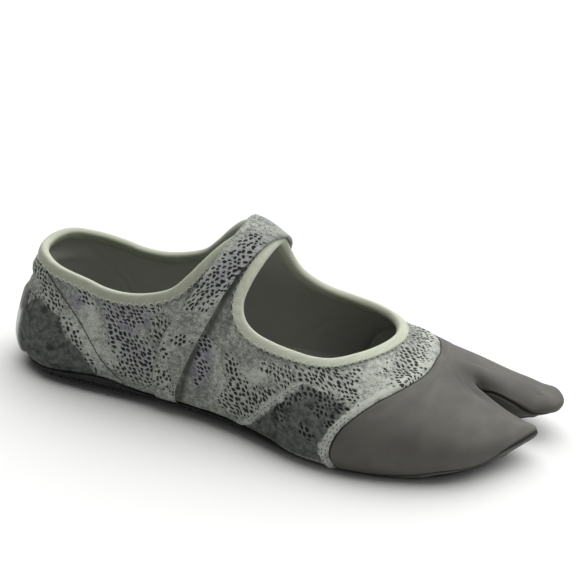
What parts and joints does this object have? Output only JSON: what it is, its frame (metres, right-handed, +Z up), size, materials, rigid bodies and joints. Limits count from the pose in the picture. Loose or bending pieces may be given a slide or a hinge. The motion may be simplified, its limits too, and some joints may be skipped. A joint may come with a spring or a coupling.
{
  "type": "split-toe strap shoe",
  "caption": "Right-foot split-toe studio shoe with an instep strap: thin nubbed rubber sole, hollow printed stretch upper, smooth toe cap, bound collar and throat.",
  "frame": {"origin": "middle of the shoe's bounding box, on the floor under the sole", "axes": "+X from heel to toes, +Y to the medial (inner) side, +Z up"},
  "size_m": [0.251, 0.1, 0.0862],
  "materials": {
    "sole_rubber": "matte black",
    "insole_cloth": "matte, soft knit top",
    "print_cloth": "matte stretch knit with a snakeskin print",
    "toe_cloth": "smooth matte laminate",
    "patch_cloth": "smooth pale laminate",
    "binding_tape": "matte folded tape"
  },
  "bodies": {
    "root": {"outsole": "sole_rubber", "insole": "insole_cloth", "upper": "print_cloth", "toe_cap": "toe_cloth", "heel_patch": "patch_cloth", "strap": "print_cloth", "collar_binding": "binding_tape", "throat_binding": "binding_tape"}
  },
  "joints": []
}
